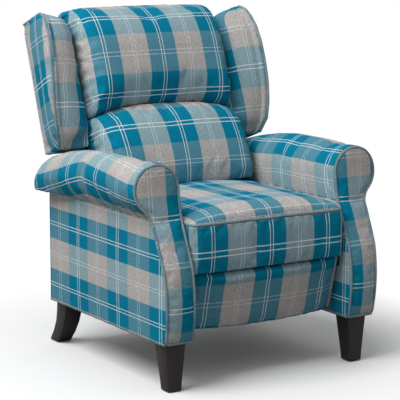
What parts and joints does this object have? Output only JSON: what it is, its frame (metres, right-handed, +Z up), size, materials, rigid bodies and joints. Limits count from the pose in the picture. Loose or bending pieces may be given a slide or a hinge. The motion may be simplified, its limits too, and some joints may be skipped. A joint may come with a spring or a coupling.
{
  "type": "wingback recliner",
  "caption": "Wingback push-back recliner with scroll arms, pillow back, piped seat, fold-out footrest panel and tapered dark legs.",
  "frame": {"origin": "centre of the bounding box on the floor, with the back upright and the footrest closed", "axes": "+Z up, the front of the chair faces -Y, +X to the right of a person who faces the chair; mirror symmetric about X = 0"},
  "size_m": [0.8, 0.8306, 1.0045],
  "materials": {
    "tartan_cloth": "woven tartan cloth in teal, grey and white",
    "piping_cloth": "cord covered in the same cloth",
    "frame_timber": "sawn timber and board",
    "dark_leg_wood": "dark stained satin wood",
    "mechanism_steel": "black painted steel",
    "webbing": "elastic webbing",
    "glide_plastic": "plastic glide"
  },
  "bodies": {
    "base": {"left_facing_piping": "piping_cloth", "right_facing_piping": "piping_cloth", "left_arm_facing": "tartan_cloth", "right_arm_facing": "tartan_cloth", "left_arm_roll": "tartan_cloth", "right_arm_roll": "tartan_cloth", "left_outer_side_panel": "tartan_cloth", "right_outer_side_panel": "tartan_cloth", "left_inner_arm_panel": "tartan_cloth", "right_inner_arm_panel": "tartan_cloth", "left_arm_posts": "frame_timber", "right_arm_posts": "frame_timber", "left_arm_rails": "frame_timber", "right_arm_rails": "frame_timber", "left_front_leg": "dark_leg_wood", "right_front_leg": "dark_leg_wood", "left_rear_leg": "dark_leg_wood", "right_rear_leg": "dark_leg_wood", "left_mechanism_rail": "mechanism_steel", "right_mechanism_rail": "mechanism_steel", "rear_rail": "tartan_cloth", "leg_bolts": "mechanism_steel", "foot_glides": "glide_plastic", "recline_pins": "mechanism_steel", "mechanism_cross_tubes": "mechanism_steel"},
    "seat": {"seat_cushion": "tartan_cloth", "seat_front_border": "tartan_cloth", "seat_piping": "piping_cloth", "seat_side_rails": "frame_timber", "seat_cross_rails": "frame_timber", "seat_webbing": "webbing", "rear_pivot_pins": "mechanism_steel", "left_seat_bracket": "mechanism_steel", "right_seat_bracket": "mechanism_steel"},
    "back": {"back_posts": "frame_timber", "back_rails": "frame_timber", "back_webbing": "webbing", "upper_back_cushion": "tartan_cloth", "lumbar_cushion": "tartan_cloth", "outer_back_panel": "tartan_cloth", "lower_back_panel": "tartan_cloth", "left_wing": "tartan_cloth", "right_wing": "tartan_cloth", "left_wing_frame": "frame_timber", "right_wing_frame": "frame_timber", "left_wing_piping": "piping_cloth", "right_wing_piping": "piping_cloth", "left_back_bracket": "mechanism_steel", "right_back_bracket": "mechanism_steel"},
    "rear_links": {"left_rear_link": "mechanism_steel", "right_rear_link": "mechanism_steel", "knee_pins": "mechanism_steel", "link_cross_tube": "mechanism_steel"},
    "front_links": {"left_front_link": "mechanism_steel", "right_front_link": "mechanism_steel"},
    "footrest": {"footrest_board": "frame_timber", "footrest_pad": "tartan_cloth", "footrest_brackets": "mechanism_steel", "footrest_pins": "mechanism_steel"}
  },
  "joints": [
    {"name": "back_recline", "type": "hinge", "parent": "base", "child": "back", "pos_m": [0, 0.1708, 0.39], "axis": [-1, 0, 0], "range_deg": [0, 35]},
    {"name": "seat_glide", "type": "slide", "parent": "base", "child": "seat", "axis": [0, -1, 0], "range_m": [0, 0.0401]},
    {"name": "footrest_open", "type": "hinge", "parent": "seat", "child": "rear_links", "pos_m": [0, -0.2892, 0.285], "axis": [-1, 0, 0], "range_deg": [0, 164.7]},
    {"name": "front_link_fold", "type": "hinge", "parent": "rear_links", "child": "front_links", "pos_m": [0, -0.0742, 0.2106], "axis": [1, 0, 0], "range_deg": [0, 154.15]},
    {"name": "footrest_tilt", "type": "hinge", "parent": "front_links", "child": "footrest", "pos_m": [0, -0.3012, 0.24], "axis": [-1, 0, 0], "range_deg": [0, 93.45]}
  ],
  "couplings": [
    {"joint": "seat_glide", "follows": "back_recline", "m_per_rad": 0.065481},
    {"joint": "front_link_fold", "follows": "footrest_open", "ratio": 0.93564},
    {"joint": "footrest_tilt", "follows": "footrest_open", "ratio": 0.56709}
  ]
}
